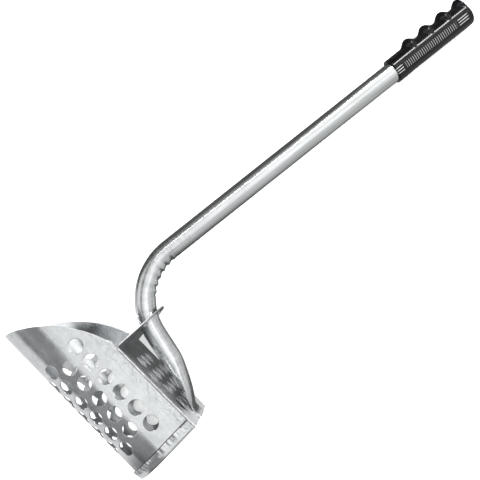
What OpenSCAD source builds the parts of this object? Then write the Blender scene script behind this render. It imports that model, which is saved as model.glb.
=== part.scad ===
// Beach sand scoop: a perforated U-shaped bucket with a slanted digging lip, a crimped end cap,
// a flat perforated back panel folded up into a handle bracket, and a bent tube with a finger grip.
// It lies on its side: +X runs from the back panel toward the grip, +Y toward the digging lip, +Z up.
// Inside each module x is the height off the back panel, y runs toward the lip from the bracket fold,
// and z runs across the bucket from its middle. The last module lays the whole tool down.

/* [Bucket] */
// Outside width across the two side walls
bucket_width = 105.2; // [80:0.2:160]
// Outside depth from the back panel's outer face to the bottom
bucket_depth = 87.4; // [60:0.2:140]
// Outside radius of the two rounded bottom corners
bottom_radius = 46; // [20:0.5:60]
// Length of the back panel, from the bracket fold to the closed end
panel_length = 113.2; // [80:0.2:200]
// Thickness of the bucket sheet
sheet = 1.2; // [0.8:0.1:3]
// Thickness of the back panel and its bracket
panel_sheet = 1.5; // [1:0.1:3]

/* [Mouth] */
// Radius of the arc that cuts both side walls down to the lip
mouth_radius = 135.4; // [100:0.1:200]
// Height of that arc's centre off the back panel
mouth_x = -132; // [-180:0.5:-90]
// Place of that arc's centre along the bucket
mouth_y = -30; // [-60:0.2:20]

/* [Holes] */
// Diameter of the sifting holes
hole_d = 16; // [8:0.5:20]
// Pitch of the holes along the bucket
hole_pitch = 21.7; // [16:0.1:30]
// Pitch of the rows, measured around the sheet
row_pitch = 20.1; // [14:0.1:30]
// Rows of holes around the sheet
rows = 10; // [4:1:14]
// How much closer the rows of the lower side wall sit to the bottom
far_shift = 2.8; // [0:0.1:4]
// Place of the first hole of the six-hole rows
first_hole = 29.9; // [0:0.1:40]

/* [Panel holes] */
// Place of the first column of panel holes
panel_hole_start = -28; // [-60:0.5:-15]
// Pitch of the columns along the panel
panel_hole_step = 19.9; // [14:0.1:30]

/* [End cap] */
// Length of the flange that wraps the outside of the shell
flange_length = 11; // [5:0.5:20]
// Thickness of the end cap
cap_sheet = 1; // [0.6:0.1:2]

/* [Handle tube] */
// Outside diameter of the tube
tube_d = 23.4; // [15:0.1:32]
// Wall of the tube
tube_wall = 1.3; // [0.8:0.1:3]
// Lean of the straight handle toward the closed end
handle_lean = 7.33; // [0:0.1:20]
// Slope of the lower leg down to the panel
leg_slope = 12; // [5:0.5:30]
// Centreline radius of the bend
bend_radius = 69; // [40:1:120]
// Height at which the leg's centreline meets the bracket plane
leg_height = 30.7; // [20:0.1:60]
// Height of the tube's upper end off the back panel
handle_top = 533.9; // [300:0.1:900]

/* [Bracket] */
// Radius of the bracket's rounded tip round the tube
bracket_tip = 22; // [16:0.5:40]

/* [Grip] */
// Length of the grip
grip_length = 112; // [90:1:150]
// Diameter of the grip's plain barrel
grip_d = 27.6; // [24:0.1:40]
// Height of the finger ridges off the tube's centreline
finger_height = 20.9; // [16:0.1:30]
// Pitch of the finger ridges
finger_pitch = 25; // [20:0.5:30]

/* [View] */
// Part to draw: all, or one node's name

/* [Hidden] */

tube_r = tube_d / 2;
half_w = bucket_width / 2;
corner_x = -(bucket_depth - bottom_radius);
corner_z = half_w - bottom_radius;
flat_depth = bucket_depth - bottom_radius;
half_girth = flat_depth + bottom_radius * PI / 2 + corner_z;
lip_reach = mouth_y + sqrt(pow(mouth_radius, 2) - pow(bucket_depth + mouth_x, 2));

// Handle centreline: two straight legs and one bend, all in the plane z = 0.
straight_dir = [cos(handle_lean), -sin(handle_lean)];
leg_dir = [-sin(leg_slope), -cos(leg_slope)];
straight_x = 92.2;
straight_y = 40.66;
turn = acos(-(straight_dir * leg_dir));
det = straight_dir[0] * leg_dir[1] - straight_dir[1] * leg_dir[0];
to_corner = ((leg_height - straight_x) * leg_dir[1] + straight_y * leg_dir[0]) / det;
corner = [straight_x, straight_y] + to_corner * straight_dir;
tangent = bend_radius * tan(turn / 2);
bend_top = corner + tangent * straight_dir;
bend_end = corner + tangent * leg_dir;
bisector = (straight_dir + leg_dir) / norm(straight_dir + leg_dir);
bend_centre = corner + bisector * bend_radius / cos(turn / 2);
straight_length = (handle_top - bend_top[0]) / straight_dir[0];
tube_end = bend_top + straight_length * straight_dir;

// Where the bend passes through the bracket.
pass_x = bend_centre[0] - sqrt(pow(bend_radius, 2) - pow(bend_centre[1], 2));
pass_tilt = asin(-bend_centre[1] / bend_radius);

// Flattening of the lower leg: distance behind the fold, height, half height, half width, slope.
leg_length = 32;
leg_end = bend_end + (leg_length - 0.3) * leg_dir;
tail = [
    [-leg_end[1], leg_end[0], tube_r + 0.12, tube_r + 0.13, leg_slope],
    [68, 14.8, 8.8, 14.4, 0],
    [84, 9.2, 6.0, 16.2, 0],
    [93, 5.4, 3.6, 17.2, 0],
    [101, 1.4, 1.4, 17.8, 0]];
tail_flat = tail[4][0];
tail_half_height = tail[4][2];
tail_half_width = tail[4][3];

// Resting pose: the seam weld along one edge and the grip's barrel both touch the ground.
seam_out = 0.9;
seam_r = 1.6;
tilt = atan((half_w + seam_out - grip_d / 2) / (tube_end[0] + 2.6));
lift = (half_w + seam_out) * cos(tilt) - seam_r * sin(tilt) + 0.004;
shift_x = -224.711;
shift_y = -(lip_reach - panel_length) / 2;

module laid() {
    translate([shift_x, shift_y, lift])
        rotate([0, tilt, 0])
            children();
}

// A bar along the bucket with the bucket's U section, from y0 toward the lip, grown by g.
module u_bar(y0, y1, g, top) {
    len = y1 - y0;
    r = bottom_radius + g;
    intersection() {
        union() {
            for (s = [-1, 1])
                translate([corner_x, y0, s * corner_z])
                    rotate([-90, 0, 0])
                        cylinder(h = len, r = r, $fn = 128);
            translate([corner_x - r, y0, -corner_z])
                cube([r, len, 2 * corner_z]);
            translate([corner_x, y0, -half_w - g])
                cube([20 - corner_x, len, 2 * half_w + 2 * g]);
        }
        translate([-150, y0, -100])
            cube([150 + top, len, 200]);
    }
}

// One sifting hole, s around the sheet from the back panel on the +z side, y along the bucket.
module sheet_hole(s, y) {
    side = s < half_girth ? 1 : -1;
    d = s < half_girth ? s : 2 * half_girth - s;
    over = max(0, d - flat_depth);
    turn_at = min(90, over / bottom_radius * 180 / PI);
    past = max(0, over - bottom_radius * PI / 2);
    if (d < flat_depth)
        translate([-d, y, side * half_w])
            cylinder(h = 12, d = hole_d, center = true, $fn = 48);
    else
        translate([corner_x, y, side * (corner_z - past)])
            rotate([0, -side * turn_at, 0])
                translate([0, 0, side * bottom_radius])
                    cylinder(h = 12, d = hole_d, center = true, $fn = 48);
}

module mouth_keep() {
    translate([mouth_x, mouth_y, 0])
        cylinder(h = 300, r = mouth_radius, center = true, $fn = 256);
    translate([-150, -200, -100])
        cube([160, 200, 200]);
}

module bucket_shell() {
    color([0.72, 0.74, 0.75])
        difference() {
            intersection() {
                u_bar(-panel_length + cap_sheet, 130, 0, -panel_sheet);
                mouth_keep();
            }
            u_bar(-panel_length - 5, 150, -sheet, 5);
            for (i = [0 : rows - 1])
                for (k = [0 : (i % 2 == 0 ? 5 : 4)])
                    sheet_hole(
                        half_girth + (i - (rows - 1) / 2) * row_pitch - (i > 4 ? far_shift : 0),
                        first_hole - (k + (i % 2) / 2) * hole_pitch);
        }
}

// End cap: a plate the shape of the section with a flange wrapped outside the shell.
module end_cap() {
    color([0.70, 0.72, 0.73])
        difference() {
            u_bar(-panel_length, -panel_length + flange_length, cap_sheet, -panel_sheet);
            u_bar(-panel_length + cap_sheet, 0, 0, 5);
            for (z = [half_w, -half_w - 10])
                translate([0, 0, z])
                    linear_extrude(height = 10)
                        polygon([
                            [-12, -panel_length + flange_length],
                            [-4, -panel_length],
                            [-4, -panel_length - 5],
                            [5, -panel_length - 5],
                            [5, -panel_length + flange_length + 5],
                            [-12, -panel_length + flange_length + 5]]);
        }
}

// Straight tangents from the panel's corners to the rounded bracket tip.
module bracket_outline(t) {
    base = 3;
    reach = norm([half_w, pass_x - base]);
    aim = atan2(pass_x - base, half_w);
    slope = asin(bracket_tip / reach);
    out = 90 - aim - slope;
    touch = [pass_x + bracket_tip * sin(out), bracket_tip * cos(out)];
    rotate([90, 0, 0])
        linear_extrude(height = t)
            polygon([
                [-panel_sheet, -half_w], [base, -half_w], [touch[0], -touch[1]],
                [touch[0], touch[1]], [base, half_w], [-panel_sheet, half_w]]);
    translate([pass_x, 0, 0])
        rotate([90, 0, 0])
            cylinder(h = t, r = bracket_tip, $fn = 96);
}

module panel_holes() {
    for (c = [0 : 3])
        for (k = [0 : (c % 2 == 0 ? 2 : 3)])
            translate([
                0,
                panel_hole_start - c * panel_hole_step,
                (k - (c % 2 == 0 ? 1 : 1.5)) * hole_pitch])
                rotate([0, 90, 0])
                    cylinder(h = 12, d = hole_d, center = true, $fn = 48);
}

module back_panel() {
    color([0.50, 0.52, 0.54])
        difference() {
            union() {
                translate([-panel_sheet, -panel_length, -half_w])
                    cube([panel_sheet, panel_length, bucket_width]);
                bracket_outline(panel_sheet);
            }
            panel_holes();
            translate([pass_x, 0, 0])
                rotate([0, 0, -pass_tilt])
                    rotate([90, 0, 0])
                        cylinder(h = 30, r = tube_r + 0.2, center = true, $fn = 96);
        }
}

// One flat-sided cross section of the flattening leg, grown by g.
module tail_slice(t, g) {
    hx = t[2] + g;
    spread = max(0.01, t[3] + g - hx);
    translate([t[1], -t[0], 0])
        rotate([0, 0, -t[4]])
            for (s = [-1, 1])
                translate([0, 0, s * spread])
                    rotate([90, 0, 0])
                        cylinder(h = 0.05, r = hx, $fn = 32);
}

module tail_run(last, g) {
    for (i = [0 : last - 1])
        hull() {
            tail_slice(tail[i], g);
            tail_slice(tail[i + 1], g);
        }
}

module along_handle(dist) {
    at = bend_top + dist * straight_dir;
    translate([at[0], at[1], 0])
        rotate([0, 0, -handle_lean])
            rotate([0, 90, 0])
                children();
}

// A straight or bent length of tube: outside radius, and inside radius (0 for a solid bar).
module straight_bar(len, r, bore) {
    difference() {
        cylinder(h = len, r = r, $fn = 64);
        if (bore > 0)
            translate([0, 0, -1])
                cylinder(h = len + 2, r = bore, $fn = 64);
    }
}

module bend_bar(r, bore) {
    rotate_extrude(angle = turn, $fn = 128)
        translate([bend_radius, 0])
            difference() {
                circle(r = r, $fn = 64);
                if (bore > 0)
                    circle(r = bore, $fn = 64);
            }
}

// Round part of the tube: straight handle, bend and the leg down to where it starts to flatten.
module round_tube(r, bore) {
    lap = 0.5;
    skin = 0.02;
    translate([bend_centre[0], bend_centre[1], 0])
        rotate([0, 0, 90 - handle_lean]) {
            translate([bend_radius, 0, 0])
                rotate([90, 0, 0])
                    straight_bar(straight_length, r, bore);
            bend_bar(r, bore);
            rotate([0, 0, turn])
                translate([bend_radius, -lap, 0])
                    rotate([-90, 0, 0])
                        straight_bar(leg_length + lap, r + skin, bore > 0 ? bore - skin : 0);
        }
}

// The flattened end, pressed flat on the back panel.
module flat_end() {
    flat_length = panel_length - tail_flat;
    spread = tail_half_width - tail_half_height;
    for (s = [-1, 1])
        translate([tail[4][1], -tail_flat, s * spread])
            rotate([90, 0, 0])
                cylinder(h = flat_length, r = tail_half_height, $fn = 32);
    translate([tail[4][1] - tail_half_height, -panel_length, -spread])
        cube([2 * tail_half_height, flat_length, 2 * spread]);
}

module handle_tube() {
    color([0.63, 0.66, 0.65]) {
        round_tube(tube_r, tube_r - tube_wall);
        difference() {
            tail_run(4, 0);
            tail_run(3, -tube_wall);
        }
        flat_end();
    }
}

// One finger ridge: a rounded disc set toward the lip side of the barrel.
module finger_ridge(at) {
    ridge_r = 13;
    translate([0, finger_height - ridge_r, at])
        rotate_extrude($fn = 96)
            polygon([
                [0, -11], [7.6, -11], [9.2, -8], [11.9, -3.4], [ridge_r, -1],
                [ridge_r, 1], [11.9, 3.4], [9.2, 8], [7.6, 11], [0, 11]]);
}

module handle_grip() {
    wall_end = 3;
    first_ridge = 34.3;
    grip_start = straight_length - grip_length + wall_end;
    color([0.08, 0.08, 0.09])
        along_handle(grip_start)
            difference() {
                union() {
                    cylinder(h = grip_length - 2, d = grip_d, $fn = 96);
                    translate([0, 0, grip_length - 2])
                        cylinder(h = 2, d1 = grip_d, d2 = grip_d - 4, $fn = 96);
                    intersection() {
                        for (i = [0 : 3])
                            finger_ridge(first_ridge + i * finger_pitch);
                        cylinder(h = grip_length, r = 40, $fn = 64);
                    }
                }
                translate([0, 0, -1])
                    cylinder(h = grip_length - wall_end + 1, r = tube_r + 0.02, $fn = 96);
            }
}

// Weld bead along one long edge, where the back panel meets the shell's side wall.
module seam_weld(side) {
    color([0.78, 0.79, 0.80])
        difference() {
            translate([-seam_r, -panel_length + 1, side * (half_w + seam_out - seam_r)])
                rotate([-90, 0, 0])
                    cylinder(h = panel_length - 3, r = seam_r, $fn = 32);
            translate([-20, -200, -half_w])
                cube([40, 300, bucket_width]);
        }
}

module left_seam_weld() {
    seam_weld(1);
}

module right_seam_weld() {
    seam_weld(-1);
}

// Tack welds that hold the tube in the bracket, behind the plate.
module bracket_tack_welds() {
    out = tube_r + 1;
    color([0.78, 0.79, 0.80])
        difference() {
            for (a = [0, 110, 250])
                translate([
                    pass_x - panel_sheet * tan(pass_tilt) + out * cos(a) / cos(pass_tilt),
                    -panel_sheet,
                    out * sin(a)])
                    rotate([90, 0, 0])
                        cylinder(h = 2, r1 = 2.8, r2 = 1.6, $fn = 32);
            translate([pass_x, 0, 0])
                rotate([0, 0, -pass_tilt])
                    rotate([90, 0, 0])
                        cylinder(h = 30, r = tube_r, center = true, $fn = 96);
        }
}

// Beads along both long edges of the flattened end.
module tail_welds() {
    color([0.78, 0.79, 0.80])
        difference() {
            for (s = [-1, 1])
                translate([0.6, -panel_length + 1, s * (tail_half_width + 0.4)])
                    rotate([-90, 0, 0])
                        cylinder(h = panel_length - tail_flat - 2, r = 1.5, $fn = 32);
            translate([-10, -200, -40])
                cube([10, 300, 80]);
            for (s = [-1, 1])
                translate([tail[4][1], 0, s * (tail_half_width - tail_half_height)])
                    rotate([90, 0, 0])
                        cylinder(h = 150, r = tail_half_height, $fn = 32);
            translate([0, -200, tail_half_height - tail_half_width])
                cube([
                    2 * tail_half_height,
                    300,
                    2 * (tail_half_width - tail_half_height)]);
        }
}

// Raised spot-weld nuggets round the end cap's flange.
module cap_spot_welds() {
    nugget = 0.35;
    y = -panel_length + flange_length / 2;
    color([0.66, 0.68, 0.69])
        difference() {
            intersection() {
                u_bar(-panel_length, -panel_length + flange_length, cap_sheet + nugget, 0);
                for (s = [24, 46, 68, 92])
                    for (side = [0, 1])
                        spot(side == 0 ? s : 2 * half_girth - s, y);
            }
            u_bar(-panel_length - 5, 0, cap_sheet, 5);
        }
}

module spot(s, y) {
    side = s < half_girth ? 1 : -1;
    d = s < half_girth ? s : 2 * half_girth - s;
    over = max(0, d - flat_depth);
    turn_at = over / bottom_radius * 180 / PI;
    translate([d < flat_depth ? -d : corner_x, y, side * corner_z])
        rotate([0, -side * turn_at, 0])
            translate([0, 0, side * bottom_radius])
                cylinder(h = 12, d = 4.6, center = true, $fn = 32);
}

laid() {
    bucket_shell();
    end_cap();
    back_panel();
    handle_tube();
    handle_grip();
    left_seam_weld();
    right_seam_weld();
    bracket_tack_welds();
    tail_welds();
    cap_spot_welds();
}
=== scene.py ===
"""Beach sand scoop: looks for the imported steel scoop, built round its fixed frame.

Every length below is in millimetres in the tool's own frame, as in the part's source: x is the
height off the back panel toward the grip, y runs toward the digging lip, z runs across the bucket.
LAID puts the finished mesh down on its side in the row frame, in metres.
"""

import math

import bmesh
import bpy
from bpy.props import FloatProperty, FloatVectorProperty, IntProperty, PointerProperty
from mathutils import Matrix, Vector


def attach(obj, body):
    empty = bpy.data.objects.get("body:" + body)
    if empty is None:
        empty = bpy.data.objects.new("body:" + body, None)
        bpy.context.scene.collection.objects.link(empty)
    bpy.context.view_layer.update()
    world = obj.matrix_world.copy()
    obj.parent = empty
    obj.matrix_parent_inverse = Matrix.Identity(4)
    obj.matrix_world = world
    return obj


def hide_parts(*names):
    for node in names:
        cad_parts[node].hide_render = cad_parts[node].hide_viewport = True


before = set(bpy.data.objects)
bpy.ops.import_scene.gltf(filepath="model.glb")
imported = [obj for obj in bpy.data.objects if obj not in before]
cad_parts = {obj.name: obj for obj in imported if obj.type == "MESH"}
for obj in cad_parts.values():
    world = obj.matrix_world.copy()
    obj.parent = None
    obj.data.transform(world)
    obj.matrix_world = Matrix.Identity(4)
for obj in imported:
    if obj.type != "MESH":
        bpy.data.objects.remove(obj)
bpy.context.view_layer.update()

bl_info = {
    "name": "Beach Sand Scoop",
    "version": (1, 0, 0),
    "blender": (4, 5, 0),
    "location": "View3D > Sidebar > Sand Scoop",
    "description": "Builds a perforated steel sand scoop with a bent tube handle and a vinyl grip",
    "category": "Add Mesh",
}

# The tool lies on one side: tilt about Y, then the shift that centres its box on the ground.
TILT = math.atan(39.7 / 536.5)
# The seam bead's outermost point, x and z, is the lowest one when the tool lies down.
SEAM_X, SEAM_Z, CLEAR = 1.6, 53.5, 0.004
SHIFT = Vector((
    -224.711, 7.6782, SEAM_Z * math.cos(TILT) - SEAM_X * math.sin(TILT) + CLEAR))
LAID = Matrix.Scale(0.001, 4) @ Matrix.Translation(SHIFT) @ Matrix.Rotation(TILT, 4, "Y")

# Bucket section: outside half width, depth, corner radius and the girth of one half.
HALF_WIDTH, DEPTH, CORNER = 52.6, 87.4, 46.0
FLAT = DEPTH - CORNER
BOTTOM_HALF = HALF_WIDTH - CORNER
QUARTER = CORNER * math.pi / 2
HALF_GIRTH = FLAT + QUARTER + BOTTOM_HALF
PANEL_LENGTH = 113.2
PANEL_SHEET = 1.5

# The slanted mouth is an arc in the side view, x then y.
MOUTH_CENTRE, MOUTH_RADIUS = (-132.0, -30.0), 135.4

# Sifting holes: rows round the sheet, the first hole's y, and how much nearer the bottom the
# far rows sit.
HOLE_ROWS, FIRST_HOLE, FAR_SHIFT = 10, 29.9, 2.8

# The settings are in metres and the shapes in millimetres; one UV unit is a decimetre of sheet.
MM = 1000.0
RIM_EASE = 0.4
UV_SCALE = 0.01

# Handle: lean of the straight part, slope of the lower leg, the bend between them.
LEAN, LEG_SLOPE, BEND_RADIUS = math.radians(7.33), math.radians(12.0), 69.0
STRAIGHT = Vector((math.cos(LEAN), -math.sin(LEAN)))
LEG = Vector((-math.sin(LEG_SLOPE), -math.cos(LEG_SLOPE)))
TUBE_R = 11.7
ON_STRAIGHT = (92.2, 40.66)
LEG_AT_FOLD = 30.7
TUBE_TOP = 533.9


def handle_corner():
    """Where the straight part's line and the lower leg's line cross."""
    det = STRAIGHT.x * LEG.y - STRAIGHT.y * LEG.x
    along = ((LEG_AT_FOLD - ON_STRAIGHT[0]) * LEG.y + ON_STRAIGHT[1] * LEG.x) / det
    return Vector(ON_STRAIGHT) + along * STRAIGHT


TURN = math.acos(-STRAIGHT.dot(LEG))
TANGENT = BEND_RADIUS * math.tan(TURN / 2)
BEND_TOP = handle_corner() + TANGENT * STRAIGHT
BEND_END = handle_corner() + TANGENT * LEG
BEND_CENTRE = (
    handle_corner()
    + (STRAIGHT + LEG).normalized() * BEND_RADIUS / math.cos(TURN / 2)
)
STRAIGHT_LENGTH = (TUBE_TOP - BEND_TOP.x) / STRAIGHT.x


# ---------------------------------------------------------------- small tools


def smooth(t):
    """0 to 1 with soft ends."""
    t = min(1.0, max(0.0, t))
    return t * t * (3 - 2 * t)


def soft_max(a, b, blend):
    """The larger of two lengths, with the step between them rounded over."""
    h = max(blend - abs(a - b), 0.0) / blend
    return max(a, b) + h * h * blend / 4


def through(stations, at):
    """Smooth curve through (place, value) stations, flat where they turn."""
    if at <= stations[0][0]:
        return stations[0][1]
    if at >= stations[-1][0]:
        return stations[-1][1]
    slopes = []
    for i in range(len(stations)):
        left = right = None
        if i > 0:
            left = (stations[i][1] - stations[i - 1][1]) / (stations[i][0] - stations[i - 1][0])
        if i < len(stations) - 1:
            right = (stations[i + 1][1] - stations[i][1]) / (stations[i + 1][0] - stations[i][0])
        if left is None or right is None:
            slopes.append(left if right is None else right)
        else:
            slopes.append(0.0 if left * right <= 0 else 2 * left * right / (left + right))
    for i in range(len(stations) - 1):
        (x0, y0), (x1, y1) = stations[i], stations[i + 1]
        if at <= x1:
            w = x1 - x0
            t = (at - x0) / w
            return (
                y0 * (2 * t**3 - 3 * t**2 + 1)
                + slopes[i] * w * (t**3 - 2 * t**2 + t)
                + y1 * (-2 * t**3 + 3 * t**2)
                + slopes[i + 1] * w * (t**3 - t**2)
            )


def ripple(t):
    """Uneven wave between -1 and 1, the same each run."""
    return (math.sin(t) + 0.6 * math.sin(2.3 * t + 1.7) + 0.4 * math.sin(4.1 * t + 0.6)) / 2


def bucket_wall(s, y, inward):
    """Point at girth s between the top edges, y along the bucket, inward from the outer skin."""
    if s > HALF_GIRTH:
        p = bucket_wall(2 * HALF_GIRTH - s, y, inward)
        return Vector((p.x, p.y, -p.z))
    if s < FLAT:
        return Vector((-s, y, HALF_WIDTH - inward))
    if s < FLAT + QUARTER:
        a = (s - FLAT) / CORNER
        r = CORNER - inward
        return Vector((-FLAT - r * math.sin(a), y, BOTTOM_HALF + r * math.cos(a)))
    return Vector((-DEPTH + inward, y, BOTTOM_HALF - (s - FLAT - QUARTER)))


def punched_blank(outline, holes, thickness, ease, segments=48):
    """Flat sheet in XY, its top at z = 0: outline corners, holes as (x, y, rx, ry), rims eased."""
    bm = bmesh.new()
    rim = [bm.verts.new((x, y, 0)) for x, y in outline]
    for a, b in zip(rim, rim[1:] + rim[:1]):
        bm.edges.new((a, b))
    for x, y, rx, ry in holes:
        bmesh.ops.create_circle(
            bm, cap_ends=False, segments=segments, radius=1.0,
            matrix=Matrix.Translation((x, y, 0)) @ Matrix.Diagonal((rx, ry, 1, 1)))
    bmesh.ops.triangle_fill(bm, use_beauty=True, use_dissolve=False, edges=bm.edges[:])
    made = bmesh.ops.extrude_face_region(bm, geom=bm.faces[:])
    moved = [v for v in made["geom"] if isinstance(v, bmesh.types.BMVert)]
    bmesh.ops.translate(bm, verts=moved, vec=(0, 0, -thickness))
    bmesh.ops.recalc_face_normals(bm, faces=bm.faces[:])
    corners = [e for e in bm.edges if e.is_manifold and e.calc_face_angle(0) > 1.2
               and abs(e.verts[0].co.z - e.verts[1].co.z) < 1e-6]
    bmesh.ops.bevel(
        bm, geom=corners, offset=ease, offset_type="OFFSET", segments=2, profile=0.5,
        affect="EDGES", material=-1, clamp_overlap=False)
    return bm


def score(bm, places, axis):
    """Cuts the blank into strips across an axis, so that it can be bent there."""
    normal = Vector((1, 0, 0)) if axis == 0 else Vector((0, 1, 0))
    for at in places:
        bmesh.ops.bisect_plane(
            bm, geom=bm.verts[:] + bm.edges[:] + bm.faces[:], dist=1e-4,
            plane_co=normal * at, plane_no=normal)


def mark_rims(bm):
    """Sheet rims keep a crisp line against the flat skin."""
    for e in bm.edges:
        if len(e.link_faces) == 2:
            a, b = (abs(f.normal.z) > 0.995 for f in e.link_faces)
            e.smooth = not (a != b or e.calc_face_angle(0) > 0.75)


def lay_uv(bm):
    """UV map from the flat blank, in decimetres, so that the finish follows the bent sheet."""
    layer = bm.loops.layers.uv.new("sheet")
    for f in bm.faces:
        for loop in f.loops:
            loop[layer].uv = (loop.vert.co.x * UV_SCALE, loop.vert.co.y * UV_SCALE)


def sleeve(columns, rows, place, closed=True, uv_scale=(1.0, 1.0)):
    """Grid wrapped into a sleeve: place(u, v) gives each point, u round, v along, both 0 to 1."""
    bm = bmesh.new()
    bmesh.ops.create_grid(bm, x_segments=columns, y_segments=rows, size=0.5)
    layer = bm.loops.layers.uv.new("sheet")
    for f in bm.faces:
        for loop in f.loops:
            co = loop.vert.co
            loop[layer].uv = ((co.x + 0.5) * uv_scale[0], (co.y + 0.5) * uv_scale[1])
    for v in bm.verts:
        v.co = place(v.co.x + 0.5, v.co.y + 0.5)
    if closed:
        bmesh.ops.remove_doubles(bm, verts=bm.verts[:], dist=1e-4)
    return bm


def finished(bm, name, material, slot, *nodes):
    """Turns a modelled shape into a piece laid on the ground, riding on the rigid tool."""
    bmesh.ops.transform(bm, matrix=LAID, verts=bm.verts[:])
    bmesh.ops.recalc_face_normals(bm, faces=bm.faces[:])
    loose = sum(1 for e in bm.edges if not e.is_manifold)
    if loose:
        raise RuntimeError(f"{name} has {loose} open edges")
    mesh = bpy.data.meshes.new(name)
    for f in bm.faces:
        f.smooth = True
    bm.to_mesh(mesh)
    bm.free()
    piece = bpy.data.objects.new(name, mesh)
    bpy.context.scene.collection.objects.link(piece)
    mesh.materials.append(material)
    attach(piece, "root")
    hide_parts(*nodes)


# ---------------------------------------------------------------- finishes


class Finish:
    """Short way to lay out a material's nodes."""

    def __init__(self, name):
        self.material = bpy.data.materials.new(name)
        self.material.use_nodes = True
        self.tree = self.material.node_tree
        self.tree.nodes.clear()
        self.shader = self.add("ShaderNodeBsdfPrincipled")
        out = self.add("ShaderNodeOutputMaterial")
        self.join(self.shader, "BSDF", out, "Surface")

    def add(self, kind, **settings):
        made = self.tree.nodes.new(kind)
        for key, value in settings.items():
            setattr(made, key, value)
        return made

    def join(self, a, out, b, into):
        self.tree.links.new(a.outputs[out], b.inputs[into])

    def coords(self, source, scale):
        texture = self.add("ShaderNodeTexCoord")
        mapping = self.add("ShaderNodeMapping")
        mapping.inputs["Scale"].default_value = scale
        self.join(texture, source, mapping, "Vector")
        return mapping

    def noise(self, source, scale, size, detail=4.0, rough=0.55, distort=0.0):
        made = self.add("ShaderNodeTexNoise")
        made.inputs["Scale"].default_value = size
        made.inputs["Detail"].default_value = detail
        made.inputs["Roughness"].default_value = rough
        made.inputs["Distortion"].default_value = distort
        self.join(self.coords(source, scale), "Vector", made, "Vector")
        return made, "Fac"

    def cells(self, source, scale, size):
        made = self.add("ShaderNodeTexVoronoi")
        made.inputs["Scale"].default_value = size
        self.join(self.coords(source, scale), "Vector", made, "Vector")
        grey = self.add("ShaderNodeSeparateColor")
        self.join(made, "Color", grey, "Color")
        return grey, "Red"

    def span(self, value, low, high, to_low, to_high, soft=True):
        made = self.add("ShaderNodeMapRange")
        if soft:
            made.interpolation_type = "SMOOTHSTEP"
        ends = (("From Min", low), ("From Max", high), ("To Min", to_low), ("To Max", to_high))
        for key, number in ends:
            made.inputs[key].default_value = number
        self.join(*value, made, "Value")
        return made, "Result"

    def sum(self, a, b, operation="ADD"):
        made = self.add("ShaderNodeMath", operation=operation)
        self.tree.links.new(a[0].outputs[a[1]], made.inputs[0])
        if isinstance(b, (int, float)):
            made.inputs[1].default_value = b
        else:
            self.tree.links.new(b[0].outputs[b[1]], made.inputs[1])
        return made, "Value"

    def single(self, a, operation):
        """Math on one value."""
        made = self.add("ShaderNodeMath", operation=operation)
        self.join(*a, made, 0)
        return made, "Value"

    def axis(self, source, which):
        """One coordinate of the piece, X, Y or Z."""
        texture = self.add("ShaderNodeTexCoord")
        parts = self.add("ShaderNodeSeparateXYZ")
        self.join(texture, source, parts, "Vector")
        return parts, which

    def shade(self, value, dark, light):
        """Colour between dark and light, by a value from 0 to 1, on the base colour."""
        mix = self.add("ShaderNodeMix", data_type="RGBA")
        self.tree.links.new(value[0].outputs[value[1]], mix.inputs[0])
        mix.inputs[6].default_value = (*dark, 1)
        mix.inputs[7].default_value = (*light, 1)
        self.tree.links.new(mix.outputs[2], self.shader.inputs["Base Color"])

    def cover(self, mask, coat):
        """Lays a flat colour over the base colour, by a mask from 0 to 1: painted shade on the
        bucket, painted highlights on the grip.
        """
        under = self.shader.inputs["Base Color"].links[0].from_socket
        mix = self.add("ShaderNodeMix", data_type="RGBA")
        self.tree.links.new(mask[0].outputs[mask[1]], mix.inputs[0])
        self.tree.links.new(under, mix.inputs[6])
        mix.inputs[7].default_value = (*coat, 1)
        self.tree.links.new(mix.outputs[2], self.shader.inputs["Base Color"])

    def relief(self, value, strength, distance):
        bump = self.add("ShaderNodeBump")
        bump.inputs["Strength"].default_value = strength
        bump.inputs["Distance"].default_value = distance
        self.join(*value, bump, "Height")
        self.join(bump, "Normal", self.shader, "Normal")


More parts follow.
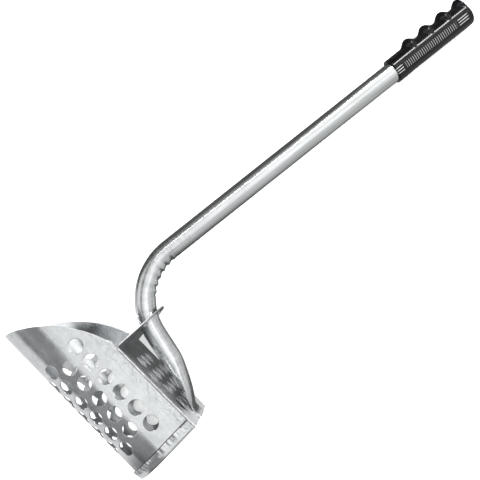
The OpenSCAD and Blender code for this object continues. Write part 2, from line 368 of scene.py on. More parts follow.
def zinc(name, colour, contrast, gloss, streak=0.0, solder=None, lap=None, painted_reflection=None):
    """Galvanised steel: spangle, mottling, draw marks along the sheet, wear and fine dents; lap
    adds a dark line and painted shade by the cap, and a painted reflection can pale one end.
    """
    f = Finish(name)
    f.shader.inputs["Metallic"].default_value = 1.0
    spangle = f.cells("UV", (1, 1, 1), 16.0)
    mottle = f.noise("UV", (1, 1, 1), 5.0, 6.0, 0.6)
    grain = f.noise("UV", (1, 1, 1), 60.0, 3.0, 0.7)
    lines = f.noise("UV", (9.0, 0.35, 1), 4.0, 4.0, 0.6)
    stains = f.noise("UV", (1, 1, 1), 1.6, 4.0, 0.5, 0.6)
    value = f.sum(f.span(mottle, 0.3, 0.7, 0.0, 0.55), f.span(spangle, 0.0, 1.0, 0.0, 0.18))
    value = f.sum(value, f.span(lines, 0.3, 0.7, 0.0, 0.15 + streak))
    value = f.sum(value, f.span(stains, 0.35, 0.6, 0.0, 0.2))
    height = f.sum(f.span(mottle, 0.2, 0.8, 0.0, 0.5), f.span(grain, 0.2, 0.8, 0.0, 0.3))
    height = f.sum(height, f.span(lines, 0.2, 0.8, 0.0, 0.2 + streak))
    rough = f.sum(
        f.span(mottle, 0.3, 0.7, gloss - 0.05, gloss + 0.05),
        f.span(grain, 0.3, 0.7, -0.03, 0.05))
    if solder:
        # Flux-burnt, dripped zinc beside the seam welds at both top edges of the sheet.
        edge, width, girth = solder
        across = f.axis("UV", "X")
        near = f.span(across, edge, edge + width, 1.0, 0.0)
        far = f.span(across, girth - edge - width, girth - edge, 0.0, 1.0)
        blot = f.noise("UV", (1, 1, 1), 14.0, 5.0, 0.7, 0.8)
        mask = f.sum(f.sum(near, far), f.span(blot, 0.42, 0.62, 0.0, 1.0), "MULTIPLY")
        value = f.sum(value, f.span(mask, 0.0, 1.0, 0.0, 0.45))
        height = f.sum(height, f.span(mask, 0.0, 1.0, 0.0, 1.1))
        rough = f.sum(rough, f.span(mask, 0.0, 1.0, 0.0, 0.12))
    if lap is not None:
        # A dark line where the crimped flange ends on the sheet, and painted shade round the bottom
        # next to it.
        along = f.axis("UV", "Y")
        offset = f.sum(along, -lap)
        line = f.span(f.sum(offset, offset, "MULTIPLY"), 0.0, 0.00016, 1.0, 0.0)
        middle = f.sum(f.axis("UV", "X"), -1.2)
        low_side = f.span(f.sum(middle, middle, "MULTIPLY"), 0.2, 0.5, 1.0, 0.0)
        painted_shade_band = f.sum(f.span(along, lap, lap + 0.24, 0.85, 0.0), low_side, "MULTIPLY")
        dark_tone = f.sum(line, painted_shade_band, "MAXIMUM")
    low = [c * (1 - contrast) for c in colour]
    high = [min(1.0, c * (1 + 0.4 * contrast)) for c in colour]
    if painted_reflection:
        # Painted reflection: paler, less metallic zinc that fades in toward one end of the sheet,
        # standing in for a lighter reflection there.
        which, start, end, pale = painted_reflection
        dull = f.sum(f.axis("UV", which), f.span(mottle, 0.3, 0.7, -0.05, 0.05))
        dull = f.span(dull, start, end, 0.0, 1.0)
        f.join(f.span(dull, 0.0, 1.0, 1.0, 0.35, False)[0], "Result", f.shader, "Metallic")
        value = f.sum(value, dull, "MAXIMUM")
        high = pale
    f.shade(value, low, high)
    # The dark line and the painted shade beside the cap go on in near black.
    if lap is not None:
        f.cover(dark_tone, (0.1, 0.1, 0.1))
    f.tree.links.new(rough[0].outputs[rough[1]], f.shader.inputs["Roughness"])
    f.relief(height, 0.35, 0.00025)
    return f.material


def weld_metal(name, colour):
    """Weld bead: bright, rough, with soot and scale in its hollows."""
    f = Finish(name)
    f.shader.inputs["Metallic"].default_value = 1.0
    lumps = f.noise("Object", (1, 1, 1), 420.0, 5.0, 0.65)
    dark_tone = f.noise("Object", (1, 1, 1), 90.0, 4.0, 0.6)
    pits = f.noise("Object", (1, 1, 1), 1400.0, 2.0, 0.5)
    value = f.sum(f.span(lumps, 0.35, 0.65, 0.0, 0.5), f.span(dark_tone, 0.35, 0.6, 0.0, 0.5))
    f.shade(value, [c * 0.55 for c in colour], colour)
    rough = f.sum(f.span(lumps, 0.3, 0.7, 0.3, 0.5), f.span(pits, 0.3, 0.7, -0.04, 0.06))
    f.tree.links.new(rough[0].outputs[rough[1]], f.shader.inputs["Roughness"])
    height = f.sum(f.span(lumps, 0.2, 0.8, 0.0, 1.0), f.span(pits, 0.2, 0.8, 0.0, 0.3))
    f.relief(height, 0.5, 0.0005)
    return f.material


def vinyl(name, colour, gloss, ribs, rib_start, rib_end):
    """Glossy moulded vinyl with a faint orange-peel skin, dust, and painted highlights on its ribs
    and flutes.
    """
    f = Finish(name)
    f.shader.inputs["Specular IOR Level"].default_value = 0.28
    peel = f.noise("Object", (1, 1, 1), 700.0, 3.0, 0.5)
    rub = f.noise("Object", (1, 1, 1), 45.0, 5.0, 0.6)
    dust = f.noise("Object", (1, 1, 1), 1500.0, 2.0, 0.6)
    value = f.sum(f.span(rub, 0.4, 0.7, 0.0, 0.6), f.span(dust, 0.62, 0.75, 0.0, 0.4))
    # The strip of ribs on each side, then the flutes past both ends of it, in the sleeve's own UV.
    around, along = f.axis("UV", "X"), f.axis("UV", "Y")
    half_turn, strip_middle, flute_gap = 0.435, 0.1643, 0.0302
    length_per_uv, rim_length = 101.1, 1.2
    side = f.sum(f.single(f.sum(around, -half_turn), "ABSOLUTE"), -strip_middle)
    inside = f.span(f.single(side, "ABSOLUTE"), 0.032, 0.042, 1.0, 0.0)
    turn = 2 * math.pi * ribs / (rib_end - rib_start)
    crest = f.sum(along, length_per_uv * turn, "MULTIPLY")
    crest = f.single(f.sum(crest, -(rim_length + rib_start) * turn), "COSINE")
    flute = f.single(f.sum(side, 2 * math.pi / flute_gap, "MULTIPLY"), "COSINE")
    on_ribs = f.sum(
        f.span(along, 0.125, 0.14, 0.0, 1.0), f.span(along, 0.86, 0.87, 1.0, 0.0), "MULTIPLY")
    on_flutes = f.sum(
        f.span(along, 0.09, 0.1, 1.0, 0.0), f.span(along, 0.885, 0.9, 0.0, 1.0), "MAXIMUM")
    on_flutes = f.sum(on_flutes, f.span(along, 1.01, 1.04, 1.0, 0.0), "MULTIPLY")
    # Painted highlights: the rib crests and flute ridges are coloured light grey in place of
    # glints.
    painted_glints = f.sum(
        f.sum(f.span(crest, 0.0, 0.9, 0.0, 0.55), on_ribs, "MULTIPLY"),
        f.sum(f.span(flute, 0.3, 0.9, 0.0, 1.0), on_flutes, "MULTIPLY"))
    f.shade(value, colour, [c * 2.0 + 0.002 for c in colour])
    # Lays the painted highlights on in light grey.
    f.cover(f.sum(painted_glints, inside, "MULTIPLY"), (0.42, 0.42, 0.43))
    rough = f.sum(f.span(rub, 0.35, 0.7, gloss, gloss + 0.07), f.span(dust, 0.6, 0.75, 0.0, 0.06))
    f.tree.links.new(rough[0].outputs[rough[1]], f.shader.inputs["Roughness"])
    f.relief(f.sum(f.span(peel, 0.2, 0.8, 0.0, 1.0), f.span(rub, 0.2, 0.8, 0.0, 0.6)), 0.05, 0.0001)
    return f.material


# ---------------------------------------------------------------- settings


class ScoopBucketSettings(bpy.types.PropertyGroup):
    hole_diameter: FloatProperty(
        name="Sifting hole", description="Diameter of the sifting holes",
        unit="LENGTH", default=0.016, min=0.006, max=0.024)
    hole_pitch: FloatProperty(
        name="Hole pitch", description="Distance between the holes along the bucket",
        unit="LENGTH", default=0.0217, min=0.012, max=0.04)
    row_pitch: FloatProperty(
        name="Row pitch", description="Distance between the rows round the sheet",
        unit="LENGTH", default=0.0201, min=0.012, max=0.04)
    sheet: FloatProperty(
        name="Sheet", description="Thickness of the bucket sheet",
        unit="LENGTH", default=0.0012, min=0.0006, max=0.003)
    zinc_colour: FloatVectorProperty(
        name="Zinc", description="Colour of the bucket's zinc coat", subtype="COLOR",
        default=(0.64, 0.66, 0.67), min=0.0, max=1.0)


class ScoopCapSettings(bpy.types.PropertyGroup):
    flange: FloatProperty(
        name="Flange", description="Length of the crimped flange",
        unit="LENGTH", default=0.011, min=0.005, max=0.02)
    crimp_depth: FloatProperty(
        name="Crimp depth", description="Height of the crimp wrinkles",
        unit="LENGTH", default=0.0011, min=0.0, max=0.0015)
    zinc_colour: FloatVectorProperty(
        name="Zinc", description="Colour of the end cap's zinc coat", subtype="COLOR",
        default=(0.66, 0.68, 0.69), min=0.0, max=1.0)


class ScoopPanelSettings(bpy.types.PropertyGroup):
    fold_radius: FloatProperty(
        name="Fold radius", description="Inside radius of the bracket's fold",
        unit="LENGTH", default=0.0012, min=0.0005, max=0.004)
    tip_radius: FloatProperty(
        name="Bracket tip", description="Radius of the bracket's rounded tip",
        unit="LENGTH", default=0.022, min=0.016, max=0.03)
    zinc_colour: FloatVectorProperty(
        name="Dull zinc", description="Colour of the panel's dull zinc coat", subtype="COLOR",
        default=(0.46, 0.48, 0.49), min=0.0, max=1.0)


class ScoopHandleSettings(bpy.types.PropertyGroup):
    wrinkle_depth: FloatProperty(
        name="Bend wrinkles", description="Depth of the wrinkles inside the bend",
        unit="LENGTH", default=0.001, min=0.0, max=0.002)
    zinc_colour: FloatVectorProperty(
        name="Tube zinc", description="Colour of the tube's mottled zinc coat", subtype="COLOR",
        default=(0.60, 0.64, 0.62), min=0.0, max=1.0)


class ScoopGripSettings(bpy.types.PropertyGroup):
    ribs: IntProperty(
        name="Ribs", description="Number of short ribs in each side strip",
        default=27, min=8, max=40)
    finger_height: FloatProperty(
        name="Finger height", description="Height of the finger ridges off the tube's axis",
        unit="LENGTH", default=0.0209, min=0.016, max=0.026)
    vinyl_colour: FloatVectorProperty(
        name="Vinyl", description="Colour of the moulded vinyl", subtype="COLOR",
        default=(0.0025, 0.0025, 0.003), min=0.0, max=1.0)


class ScoopWeldSettings(bpy.types.PropertyGroup):
    bead_radius: FloatProperty(
        name="Bead radius", description="Radius of the seam weld beads",
        unit="LENGTH", default=0.0016, min=0.0008, max=0.003)
    weld_colour: FloatVectorProperty(
        name="Weld", description="Colour of the weld metal", subtype="COLOR",
        default=(0.70, 0.71, 0.72), min=0.0, max=1.0)


class ScoopStageSettings(bpy.types.PropertyGroup):
    floor_colour: FloatVectorProperty(
        name="Floor", description="Colour of the plain pale floor", subtype="COLOR",
        default=(0.88, 0.88, 0.88), min=0.0, max=1.0)
    lens: FloatProperty(
        name="Lens", description="Focal length of the camera",
        unit="CAMERA", default=43.18, min=20.0, max=120.0)


# ---------------------------------------------------------------- pieces


class ScoopBuildBucket(bpy.types.Operator):
    """Bend the punched sheet into the U-shaped bucket"""

    bl_idname = "scoop.build_bucket"
    bl_label = "Bucket Shell"

    def execute(self, context):
        s = context.scene.scoop_bucket
        girth = 2 * HALF_GIRTH
        top = PANEL_SHEET

        def mouth(at):
            x = bucket_wall(at, 0, 0).x
            return MOUTH_CENTRE[1] + math.sqrt(MOUTH_RADIUS**2 - (x - MOUTH_CENTRE[0]) ** 2)

        steps = 120
        lip = [top + (girth - 2 * top) * i / steps for i in range(steps + 1)]
        back = -(PANEL_LENGTH - 1)
        outline = [(at, mouth(at)) for at in lip] + [(girth - top, back), (top, back)]
        radius = s.hole_diameter * MM / 2
        holes = []
        for row in range(HOLE_ROWS):
            far = FAR_SHIFT if row >= HOLE_ROWS / 2 else 0.0
            at = HALF_GIRTH + (row - (HOLE_ROWS - 1) / 2) * s.row_pitch * MM - far
            for k in range(6 - row % 2):
                y = FIRST_HOLE - (k + (row % 2) / 2) * s.hole_pitch * MM
                holes.append((at, y, radius, radius))
        bm = punched_blank(outline, holes, s.sheet * MM, RIM_EASE)
        bends = 26
        score(bm, [FLAT + QUARTER * i / bends for i in range(bends + 1)], 0)
        score(bm, [girth - FLAT - QUARTER * i / bends for i in range(bends + 1)], 0)
        bm.normal_update()
        mark_rims(bm)
        lay_uv(bm)
        for v in bm.verts:
            v.co = bucket_wall(v.co.x, v.co.y, -v.co.z)
        # lap puts a dark line at the cap's flange and painted shade round the bottom beside it.
        finish = zinc(
            "bright zinc sheet", s.zinc_colour, 0.22, 0.17,
            solder=(0.015, 0.2, girth * UV_SCALE), lap=-1.022)
        finished(bm, "bucket_sheet", finish, "galvanised_sheet", "bucket_shell")
        return {"FINISHED"}


class ScoopBuildCap(bpy.types.Operator):
    """Press the end cap and crimp its flange round the bucket"""

    bl_idname = "scoop.build_cap"
    bl_label = "End Cap"

    def execute(self, context):
        s = context.scene.scoop_cap
        girth = 2 * HALF_GIRTH
        lift, corner, edge = 1.0, 2.2, 1.8
        flange, crimp_depth = s.flange * MM, s.crimp_depth * MM

        def place(u, v):
            # v: 0 to 0.2 plate edge, 0.2 to 0.4 rounded corner, 0.4 to 1 flange to its free edge.
            if v < 0.2:
                start, inset, back = edge, corner + 6.0 * (1 - v / 0.2), 0.0
            elif v < 0.4:
                a = (v - 0.2) / 0.2 * math.pi / 2
                start = edge + 3.0 * (v - 0.2) / 0.2
                inset, back = corner * (1 - math.sin(a)), corner * (1 - math.cos(a))
            else:
                t = (v - 0.4) / 0.6
                start, inset = 4.8 + 8.2 * t, 0.0
                back = corner + (flange - corner) * t
            at = start + (girth - 2 * start) * u
            free = smooth((v - 0.45) / 0.45)
            curve = smooth((min(at, girth - at) - 44.0) / 26.0)
            wave = ripple(at * 1.25) * 0.75 + 0.25 * ripple(at * 3.1 + 2.0)
            dents = ripple(at * 0.33 + 0.8) * 0.35
            raised = curve * (0.55 + wave) + (1 - curve) * (0.25 + dents)
            raised *= crimp_depth * free
            return bucket_wall(at, -PANEL_LENGTH + back, inset - lift - raised)

        bm = sleeve(400, 30, place, closed=False, uv_scale=(girth * UV_SCALE, 0.18))
        # The plate is filled in from its inner edge, without the short runs along the panel.
        rear = [e for e in bm.edges if e.is_boundary
                and all(abs(v.co.y + PANEL_LENGTH) < 1e-5 for v in e.verts)]
        inner = [e for e in rear
                 if min(abs(v.co.x + edge) for v in e.verts) > 1e-3
                 or abs(e.verts[0].co.x - e.verts[1].co.x) > 1e-4]
        bmesh.ops.contextual_create(bm, geom=inner)
        bmesh.ops.recalc_face_normals(bm, faces=bm.faces[:])
        bmesh.ops.solidify(bm, geom=bm.faces[:], thickness=1.0)
        bm.normal_update()
        for e in bm.edges:
            if len(e.link_faces) == 2:
                e.smooth = e.calc_face_angle(0) < 0.7
        finish = zinc("crimped zinc cap", s.zinc_colour, 0.3, 0.2)
        finished(bm, "end_cap_pressing", finish, "galvanised_cap", "end_cap")
        return {"FINISHED"}


class ScoopBuildPanel(bpy.types.Operator):
    """Punch the back panel and fold its front edge up into the handle bracket"""

    bl_idname = "scoop.build_panel"
    bl_label = "Back Panel and Bracket"

    def execute(self, context):
        s = context.scene.scoop_panel
        fold_radius, tip_radius = s.fold_radius * MM, s.tip_radius * MM
        fold = -PANEL_SHEET - fold_radius
        arc = (fold_radius + PANEL_SHEET / 2) * math.pi / 2
        grow = fold + arc - fold_radius
        pass_x = BEND_CENTRE.x - math.sqrt(BEND_RADIUS**2 - BEND_CENTRE.y**2)
        slant = math.asin(-BEND_CENTRE.y / BEND_RADIUS)
        tip = Vector((pass_x + grow, 0))
        shoulder = Vector((3 + grow, HALF_WIDTH))
        reach = shoulder - tip
        swing = math.acos(tip_radius / reach.length)
        first = math.atan2(reach.y, reach.x) - swing
        outline = [(-PANEL_LENGTH, HALF_WIDTH), (shoulder.x, HALF_WIDTH)]
        turns = 40
        outline += [
            (tip.x + tip_radius * math.cos(first * (1 - 2 * i / turns)),
             tip_radius * math.sin(first * (1 - 2 * i / turns))) for i in range(turns + 1)]
        outline += [(shoulder.x, -HALF_WIDTH), (-PANEL_LENGTH, -HALF_WIDTH)]
        holes = [(tip.x - 0.35, 0.0, 11.95 / math.cos(slant) + 0.25, 11.95)]
        for column in range(4):
            across = (-21.7, 0.0, 21.7) if column % 2 == 0 else (-32.55, -10.85, 10.85, 32.55)
            holes += [(-28 - 19.9 * column, z, 8.0, 8.0) for z in across]
        bm = punched_blank(outline, holes, PANEL_SHEET, RIM_EASE, 56)
        score(bm, [fold + arc * i / 8 for i in range(9)], 0)
        bm.normal_update()
        mark_rims(bm)
        lay_uv(bm)
        for v in bm.verts:
            d, z, w = v.co
            if d < fold:
                v.co = Vector((w, d, z))
            elif d < fold + arc:
                a = (d - fold) / arc * math.pi / 2
                r = fold_radius - w
                v.co = Vector((fold_radius - r * math.cos(a), fold + r * math.sin(a), z))
            else:
                v.co = Vector((fold_radius + d - fold - arc, -PANEL_SHEET - w, z))
        # The panel's rear end is lightened with a painted reflection.
        finish = zinc(
            "dull zinc panel", s.zinc_colour, 0.3, 0.35,
            painted_reflection=("X", -0.86, -1.03, (0.6, 0.61, 0.62)))
        finished(bm, "panel_and_bracket", finish, "galvanised_panel", "back_panel")
        return {"FINISHED"}


def handle_path(t):
    """The tube at t from its upper end: centre, outward side, half sizes and squareness."""
    to_bend = STRAIGHT_LENGTH
    bend = BEND_RADIUS * TURN
    if t < to_bend:
        side = Vector((-STRAIGHT.y, STRAIGHT.x))
        return BEND_TOP + STRAIGHT * (to_bend - t), side, TUBE_R, TUBE_R, 2.0
    if t < to_bend + bend:
        a = (t - to_bend) / BEND_RADIUS
        side = Vector((math.sin(LEAN) * math.cos(a) - math.cos(LEAN) * math.sin(a),
                       math.cos(LEAN) * math.cos(a) + math.sin(LEAN) * math.sin(a)))
        return BEND_CENTRE + side * BEND_RADIUS, side, TUBE_R, TUBE_R, 2.0
    y = BEND_END.y - (t - to_bend - bend)
    back = -y
    leg_y = -(BEND_END.y + 32 * LEG.y)
    leg_x = BEND_END.x + 32 * LEG.x
    slope = math.tan(LEG_SLOPE)
    if back < leg_y:
        height = BEND_END.x - (back + BEND_END.y) * slope
        turn = LEG_SLOPE
    else:
        height = through(
            [(leg_y, leg_x), (68, 14.8), (84, 9.2), (93, 5.4), (101, 1.45),
             (PANEL_LENGTH, 1.4)], back)
        turn = LEG_SLOPE * (1 - smooth((back - leg_y) / 50))
    thick = through(
        [(leg_y - 8, TUBE_R), (leg_y, TUBE_R - 0.05), (68, 8.8), (84, 6.0), (93, 3.6),
         (101, 1.4), (PANEL_LENGTH, 1.4)], back)
    wide = through(
        [(leg_y - 8, TUBE_R), (leg_y, TUBE_R + 0.1), (68, 14.4), (84, 16.2), (93, 17.2),
         (101, 17.8), (PANEL_LENGTH, 17.8)], back)
    power = through([(60, 2.0), (84, 2.15), (96, 2.6), (102, 4.5), (PANEL_LENGTH, 4.5)], back)
    return Vector((height, y)), Vector((-math.cos(turn), math.sin(turn))), thick, wide, power


class ScoopBuildHandle(bpy.types.Operator):
    """Bend the tube, wrinkle the inside of the bend and crush its lower end flat"""

    bl_idname = "scoop.build_handle"
    bl_label = "Handle Tube"

    def execute(self, context):
        s = context.scene.scoop_handle
        total = STRAIGHT_LENGTH + BEND_RADIUS * TURN + (PANEL_LENGTH + BEND_END.y)
        upper = 40
        dense = 380
        rows = upper + dense
        split = STRAIGHT_LENGTH - 30

        def place(u, v):
            row = v * rows
            t = split * row / upper
            if row > upper:
                t = split + (total - split) * (row - upper) / dense
            centre, side, thick, wide, power = handle_path(t)
            around = 2 * math.pi * u
            c, n = math.cos(around), math.sin(around)
            if power > 2.001:
                c = math.copysign(abs(c) ** (2 / power), c)
                n = math.copysign(abs(n) ** (2 / power), n)
            out, across = thick * c, wide * n
            turned = math.degrees((t - STRAIGHT_LENGTH) / BEND_RADIUS)
            if -4 < turned < 60:
                fade = smooth((turned + 4) / 8) * (1 - smooth((turned - 42) / 14))
                inner = max(0.0, -math.cos(around)) ** 2.2
                skew = 6 * math.sin(around)
                phase = (turned - 5 + skew * 0.3) * 360 / 8.6 + 14 * math.sin(turned)
                wave = math.cos(math.radians(phase)) * (0.75 + 0.3 * math.sin(turned * 0.7))
                out += s.wrinkle_depth * MM * fade * inner * (wave + 0.25)
            back = -centre.y
            if t > STRAIGHT_LENGTH + BEND_RADIUS * TURN and back > 52:
                # Pinch lines where the crushed sides fold over.
                fold = smooth((back - 56) / 20) * (1 - smooth((back - 100) / 6))
                edge = abs(math.sin(around))
                pinch = 0.9 * fold * math.exp(-((edge - 0.9) / 0.1) ** 2)
                out += pinch * math.copysign(1, -math.cos(around))
            if back > 112.2:
                out *= 0.9
            return Vector((centre.x + side.x * out, centre.y + side.y * out, across))

        bm = sleeve(96, rows, place, uv_scale=(0.735, total * UV_SCALE))
        bmesh.ops.holes_fill(bm, edges=[e for e in bm.edges if e.is_boundary], sides=0)
        for f in bm.faces:
            if len(f.verts) > 8:
                for e in f.edges:
                    e.smooth = False
        ends = total * UV_SCALE
        # The crushed tail is lightened with a painted reflection, like the panel's rear end.
        finish = zinc("mottled zinc tube", s.zinc_colour, 0.34, 0.22, streak=0.35,
                      painted_reflection=("Y", ends - 0.25, ends - 0.08, (0.62, 0.63, 0.64)))
        finished(bm, "bent_tube", finish, "galvanised_tube", "handle_tube")
        return {"FINISHED"}


class ScoopBuildGrip(bpy.types.Operator):
    """Mould the vinyl grip with its finger ridges, ribs and flutes"""

    bl_idname = "scoop.build_grip"
    bl_label = "Grip"

    def execute(self, context):
        s = context.scene.scoop_grip
        length, barrel, first_ridge, pitch = 112.0, 13.8, 34.3, 25.0
        start = STRAIGHT_LENGTH - length + 3
        offset = s.finger_height * MM - 13.0
        side = Vector((math.sin(LEAN), math.cos(LEAN)))
        rib_start, rib_end = 12.3, 86.5

        def relief(a, strip):
            """Height of the side strip's ribs and flutes; strip is the angle from its middle."""
            if rib_start < a < rib_end:
                edge = smooth((16.5 - abs(strip)) / 2.5)
                wave = math.cos(2 * math.pi * s.ribs * (a - rib_start) / (rib_end - rib_start))
                return edge * (0.42 * wave - 0.1) * smooth(a - rib_start) * smooth(rib_end - a)
            for low, high in ((0.9, 8.8), (88.5, 104.0)):
                if low - 1 < a < high + 1:
                    ends = smooth((a - low + 0.6) / 1.2) * smooth((high + 0.6 - a) / 1.2)
                    flute = max(
                        smooth(1 - abs(strip - middle) / 3.6) for middle in (-12.5, 0.0, 12.5))
                    reach = smooth((18.5 - abs(strip)) / 2)
                    return ends * reach * (0.75 * flute - 0.35)
            return 0.0

        def radius(a, around):
            c = math.cos(around)
            wave = 0.0
            if a > first_ridge + 3 * pitch:
                wave = 1.0
            elif a > first_ridge - pitch / 2:
                wave = abs(math.cos(math.pi * (a - first_ridge) / pitch)) ** 2.7
            ridge = 7.2 + 5.8 * wave
            under = ridge**2 - (offset * math.sin(around)) ** 2
            r = barrel - 0.4 * smooth((a - 10) / 15) * (1 - c) / 2
            if under > 0:
                r = soft_max(r, offset * c + math.sqrt(under), 1.2)
            degrees = math.degrees(around)
            strip = abs(degrees if degrees <= 180 else degrees - 360) - 112
            return r + relief(a, strip)

        rows = 330
        rim, bore = 5, TUBE_R + 0.03

        def place(u, v):
            row = v * rows
            around = 2 * math.pi * u
            if row < rim:
                # The open end: out of the bore, over a rounded rim, onto the barrel.
                t = row / rim
                a = 3.0 if row == 0 else 0.0
                r = bore
                if t > 0.35:
                    a += 0.9 * (1 - math.sin(t * math.pi / 2))
                    r += (radius(1.0, around) - bore) * math.sin((t - 0.2) / 0.8 * math.pi / 2)
            else:
                t = (row - rim) / (rows - rim)
                a = 0.5 + (length - 0.5) * t
                r = radius(a, around)
                end = smooth((a - (length - 5.5)) / 5.5)
                r *= math.sqrt(max(0.0, 1 - (0.82 * end) ** 3.2))
            across = r * math.sin(around)
            p = BEND_TOP + STRAIGHT * (start + a) + side * r * math.cos(around)
            return Vector((p.x, p.y, across))

        bm = sleeve(216, rows, place, uv_scale=(0.87, 1.12))
        bmesh.ops.holes_fill(bm, edges=[e for e in bm.edges if e.is_boundary], sides=0)
        for f in list(bm.faces):
            if len(f.verts) > 8:
                bmesh.ops.inset_region(bm, faces=[f], thickness=2.0, depth=0.0)
        finish = vinyl("black moulded vinyl", s.vinyl_colour, 0.12, s.ribs, rib_start, rib_end)
        finished(bm, "vinyl_grip", finish, "black_vinyl", "handle_grip")
        return {"FINISHED"}


def bead(points, radius, seed, name, material, node):
    """A rippled weld bead along a run of points."""
    run = [Vector(p) for p in points]
    lengths = [0.0]
    for a, b in zip(run, run[1:]):
        lengths.append(lengths[-1] + (b - a).length)
    total = lengths[-1]
    rows = max(12, int(total / 0.45))

    def at(d):
        for i in range(len(run) - 1):
            if d <= lengths[i + 1] or i == len(run) - 2:
                t = (d - lengths[i]) / (lengths[i + 1] - lengths[i])
                return run[i].lerp(run[i + 1], t), (run[i + 1] - run[i]).normalized()

    def place(u, v):
        d = v * total
        centre, along = at(d)
        other = Vector((0.31, 0.17, 0.93)) if abs(along.z) < 0.9 else Vector((1, 0, 0))
        side = along.cross(other).normalized()
        up = along.cross(side).normalized()
        past = max(0.0, abs(v - 0.5) - 0.5 + radius / total) * total / radius
        end = math.sqrt(max(0.02, 1 - past**2))
        around = 2 * math.pi * u
        waves = 0.07 * math.cos(d * 3.4 + seed) + 0.06 * ripple(d * 0.8 + seed)
        scale = radius * end * (0.9 + waves)
        return centre + side * scale * math.cos(around) + up * scale * math.sin(around)

    bm = sleeve(14, rows, place)
    bmesh.ops.holes_fill(bm, edges=[e for e in bm.edges if e.is_boundary], sides=0)
    finished(bm, name, material, "weld_metal", node)


class ScoopBuildSeams(bpy.types.Operator):
    """Run a weld bead along both long edges of the back panel"""

    bl_idname = "scoop.build_seams"
    bl_label = "Seam Welds"

    def execute(self, context):
        s = context.scene.scoop_weld
        metal = weld_metal("seam weld metal", s.weld_colour)
        radius = s.bead_radius * MM
        out = SEAM_Z - radius
        for z, node in ((1, "left_seam_weld"), (-1, "right_seam_weld")):
            points = [(-radius, -112.2 + 110.2 * i / 20, z * out) for i in range(21)]
            bead(points, radius, z * 1.3, node + "_bead", metal, node)
        return {"FINISHED"}


def dome(bm, centre, normal, radius, height, dish=0.0):
    """A low round weld button, dished in the middle, standing on a face."""
    turn = Vector(normal).normalized().to_track_quat("Z", "Y").to_matrix().to_4x4()
    made = bmesh.ops.create_uvsphere(
        bm, u_segments=28, v_segments=18, radius=1.0, matrix=Matrix.Identity(4))
    place = Matrix.Translation(centre) @ turn
    for v in made["verts"]:
        x, y, z = v.co
        flat = math.hypot(x, y)
        lift = z * height if z > 0 else z * 0.5
        if z > 0:
            lift -= dish * math.exp(-(flat / 0.5) ** 2)
        wobble = 1 + 0.06 * math.sin(3 * math.atan2(y, x) + centre[1])
        v.co = place @ Vector((x * radius * wobble, y * radius * wobble, lift))


class ScoopBuildSpots(bpy.types.Operator):
    """Press the spot welds into the end cap's flange"""

    bl_idname = "scoop.build_spots"
    bl_label = "Spot Welds"

    def execute(self, context):
        s = context.scene.scoop_weld
        metal = weld_metal("spot weld metal", s.weld_colour)
        bm = bmesh.new()
        for along in (24.0, 46.0, 68.0, 92.0):
            for half in (along, 2 * HALF_GIRTH - along):
                y = -PANEL_LENGTH + 5.5
                surface = bucket_wall(half, y, -1.05)
                dome(bm, surface, surface - bucket_wall(half, y, 0), 2.3, 0.55, 0.5)
        finished(bm, "cap_spots", metal, "weld_metal", "cap_spot_welds")
        return {"FINISHED"}


class ScoopBuildTacks(bpy.types.Operator):
    """Tack the tube into the bracket and weld its crushed end to the panel"""

    bl_idname = "scoop.build_tacks"
    bl_label = "Tack Welds"

    def execute(self, context):
        s = context.scene.scoop_weld
        metal = weld_metal("tack weld metal", s.weld_colour)
        pass_x = BEND_CENTRE.x - math.sqrt(BEND_RADIUS**2 - BEND_CENTRE.y**2)
        slant = math.asin(-BEND_CENTRE.y / BEND_RADIUS)
        bm = bmesh.new()
        for degrees in (0, 110, 250):
            a = math.radians(degrees)
            out = TUBE_R + 0.9
            x = pass_x - PANEL_SHEET * math.tan(slant) + out * math.cos(a) / math.cos(slant)
            centre = Vector((x, -PANEL_SHEET - 0.3, out * math.sin(a)))
            dome(bm, centre, (0.35 * math.cos(a), -1, 0.35 * math.sin(a)), 2.5, 1.6)
        finished(bm, "bracket_tacks", metal, "weld_metal", "bracket_tack_welds")
        bm = bmesh.new()
        for z in (-1, 1):
            for i in range(5):
                centre = Vector((0.35, -103.4 - 1.7 * i, z * 18.2))
                dome(bm, centre, (1, 0, 0.7 * z), 1.35, 1.3 + 0.3 * math.sin(2.1 * i))
        finished(bm, "tail_tacks", metal, "weld_metal", "tail_welds")
        return {"FINISHED"}


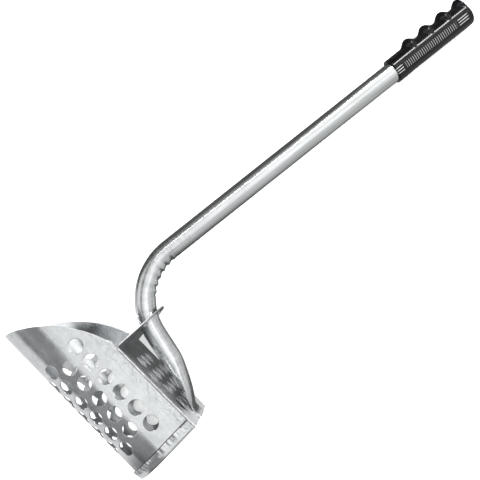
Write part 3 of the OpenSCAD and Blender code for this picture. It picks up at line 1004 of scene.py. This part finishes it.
class ScoopBuildStage(bpy.types.Operator):
    """Lay the pale floor and set the soft lights and the camera"""

    bl_idname = "scoop.build_stage"
    bl_label = "Stage"

    def execute(self, context):
        s = context.scene.scoop_stage
        scene = context.scene
        scene.view_settings.view_transform = "Standard"
        bm = bmesh.new()
        bmesh.ops.create_grid(bm, x_segments=2, y_segments=2, size=6.0)
        mesh = bpy.data.meshes.new("floor")
        bm.to_mesh(mesh)
        bm.free()
        floor = bpy.data.objects.new("floor", mesh)
        scene.collection.objects.link(floor)
        f = Finish("pale floor")
        f.shader.inputs["Base Color"].default_value = (*s.floor_colour, 1)
        f.shader.inputs["Roughness"].default_value = 0.9
        f.shader.inputs["Specular IOR Level"].default_value = 0.1
        f.shader.inputs["Emission Color"].default_value = (1, 1, 1, 1)
        f.shader.inputs["Emission Strength"].default_value = 0.3
        mesh.materials.append(f.material)
        floor.visible_glossy = False
        self.sky(scene)
        self.softbox("key strip", (0.4, 0.52, 0.78), 1.5, 0.05, 1.8, 4.0)
        self.softbox("grip strip", (0.635, 0.511, 0.58), 1.67, 0.14, 0.5, 12.0)
        self.softbox("floor fill", (-0.1, 0.02, 1.0), 1.7, 2.0, 2.0, 34.0).visible_glossy = False
        self.camera(scene, s.lens)
        return {"FINISHED"}

    def sky(self, scene):
        """Grey room with a bright ceiling and a pale card low on the bucket's side."""
        world = bpy.data.worlds.new("soft room")
        scene.world = world
        world.use_nodes = True
        tree = world.node_tree
        tree.nodes.clear()
        out = tree.nodes.new("ShaderNodeOutputWorld")
        back = tree.nodes.new("ShaderNodeBackground")
        tree.links.new(back.outputs[0], out.inputs[0])
        where = tree.nodes.new("ShaderNodeTexCoord")
        total = None
        lobes = (
            ((0.0, 0.0, 1.0), 0.2, 0.42, 0.16, 0.45), ((0.2, 0.0, 0.98), 0.84, 0.893, 0.0, 1.15),
            ((-0.85, 0.1, -0.45), 0.68, 0.8, 0.0, 1.0), ((0.75, -0.6, 0.25), 0.1, 0.8, 0.0, 0.85),
            ((-0.62, 0.66, 0.42), 0.88, 0.95, 0.0, 1.0))
        for direction, low, high, dim, bright in lobes:
            dot = tree.nodes.new("ShaderNodeVectorMath")
            dot.operation = "DOT_PRODUCT"
            dot.inputs[1].default_value = direction
            tree.links.new(where.outputs["Generated"], dot.inputs[0])
            span = tree.nodes.new("ShaderNodeMapRange")
            span.interpolation_type = "SMOOTHSTEP"
            ends = (("From Min", low), ("From Max", high), ("To Min", dim), ("To Max", bright))
            for key, number in ends:
                span.inputs[key].default_value = number
            tree.links.new(dot.outputs["Value"], span.inputs["Value"])
            if total is None:
                total = span.outputs["Result"]
            else:
                add = tree.nodes.new("ShaderNodeMath")
                tree.links.new(total, add.inputs[0])
                tree.links.new(span.outputs["Result"], add.inputs[1])
                total = add.outputs["Value"]
        tree.links.new(total, back.inputs["Strength"])

    def softbox(self, name, direction, distance, width, length, power):
        """Area light aimed at the tool, its long side along the handle."""
        light = bpy.data.lights.new(name, "AREA")
        light.shape = "RECTANGLE"
        light.size, light.size_y = width, length
        light.energy = power
        lamp = bpy.data.objects.new(name, light)
        bpy.context.scene.collection.objects.link(lamp)
        away = Vector(direction).normalized()
        handle = Vector((STRAIGHT.x, STRAIGHT.y, 0))
        along = handle - away * away.dot(handle)
        along.normalize()
        side = along.cross(away)
        turn = Matrix((side, along, away)).transposed().to_4x4()
        lamp.matrix_world = Matrix.Translation(away * distance) @ turn
        return lamp

    def camera(self, scene, lens):
        """Looks down on the tool from above the bend, as in the tool's own frame."""
        turn = Matrix.Rotation(TILT, 3, "Y")
        right = turn @ Vector((0.69477, -0.71870, -0.02645))
        down = turn @ Vector((-0.71744, -0.69000, -0.09627))
        ahead = turn @ Vector((0.05099, 0.08580, -0.99496))
        ahead.normalize()
        right = (right - ahead * right.dot(ahead)).normalized()
        up = right.cross(ahead).normalized()
        if up.dot(down) > 0:
            raise RuntimeError("the camera is upside down")
        data = bpy.data.cameras.new("camera")
        data.lens, data.sensor_width = lens, 36.0
        data.clip_start, data.clip_end = 0.01, 30.0
        camera = bpy.data.objects.new("camera", data)
        scene.collection.objects.link(camera)
        camera.matrix_world = (
            Matrix.Translation(LAID @ Vector((133.998, -65.704, 640.505)))
            @ Matrix((right, up, -ahead)).transposed().to_4x4())
        scene.camera = camera


# ---------------------------------------------------------------- panel and running


SETTINGS = (
    ("scoop_bucket", ScoopBucketSettings, "Bucket"), ("scoop_cap", ScoopCapSettings, "End cap"),
    ("scoop_panel", ScoopPanelSettings, "Panel"), ("scoop_handle", ScoopHandleSettings, "Handle"),
    ("scoop_grip", ScoopGripSettings, "Grip"), ("scoop_weld", ScoopWeldSettings, "Welds"),
    ("scoop_stage", ScoopStageSettings, "Stage"))
OPERATORS = (
    ScoopBuildBucket, ScoopBuildCap, ScoopBuildPanel, ScoopBuildHandle, ScoopBuildGrip,
    ScoopBuildSeams, ScoopBuildSpots, ScoopBuildTacks, ScoopBuildStage)


class VIEW3D_PT_sand_scoop(bpy.types.Panel):
    """Sizes, colours and build steps of the sand scoop"""

    bl_label = "Sand Scoop"
    bl_space_type = "VIEW_3D"
    bl_region_type = "UI"
    bl_category = "Sand Scoop"

    def draw(self, context):
        for name, group, title in SETTINGS:
            box = self.layout.box()
            box.label(text=title)
            for key in group.__annotations__:
                box.prop(getattr(context.scene, name), key)
        for operator in OPERATORS:
            self.layout.operator(operator.bl_idname)


def register():
    for name, group, _ in SETTINGS:
        bpy.utils.register_class(group)
        setattr(bpy.types.Scene, name, PointerProperty(type=group))
    for operator in OPERATORS:
        bpy.utils.register_class(operator)
    bpy.utils.register_class(VIEW3D_PT_sand_scoop)


def unregister():
    bpy.utils.unregister_class(VIEW3D_PT_sand_scoop)
    for operator in reversed(OPERATORS):
        bpy.utils.unregister_class(operator)
    for name, group, _ in reversed(SETTINGS):
        delattr(bpy.types.Scene, name)
        bpy.utils.unregister_class(group)


def main():
    register()
    bpy.ops.scoop.build_bucket()
    bpy.ops.scoop.build_cap()
    bpy.ops.scoop.build_panel()
    bpy.ops.scoop.build_handle()
    bpy.ops.scoop.build_grip()
    bpy.ops.scoop.build_seams()
    bpy.ops.scoop.build_spots()
    bpy.ops.scoop.build_tacks()
    bpy.ops.scoop.build_stage()


if __name__ == "__main__":
    main()
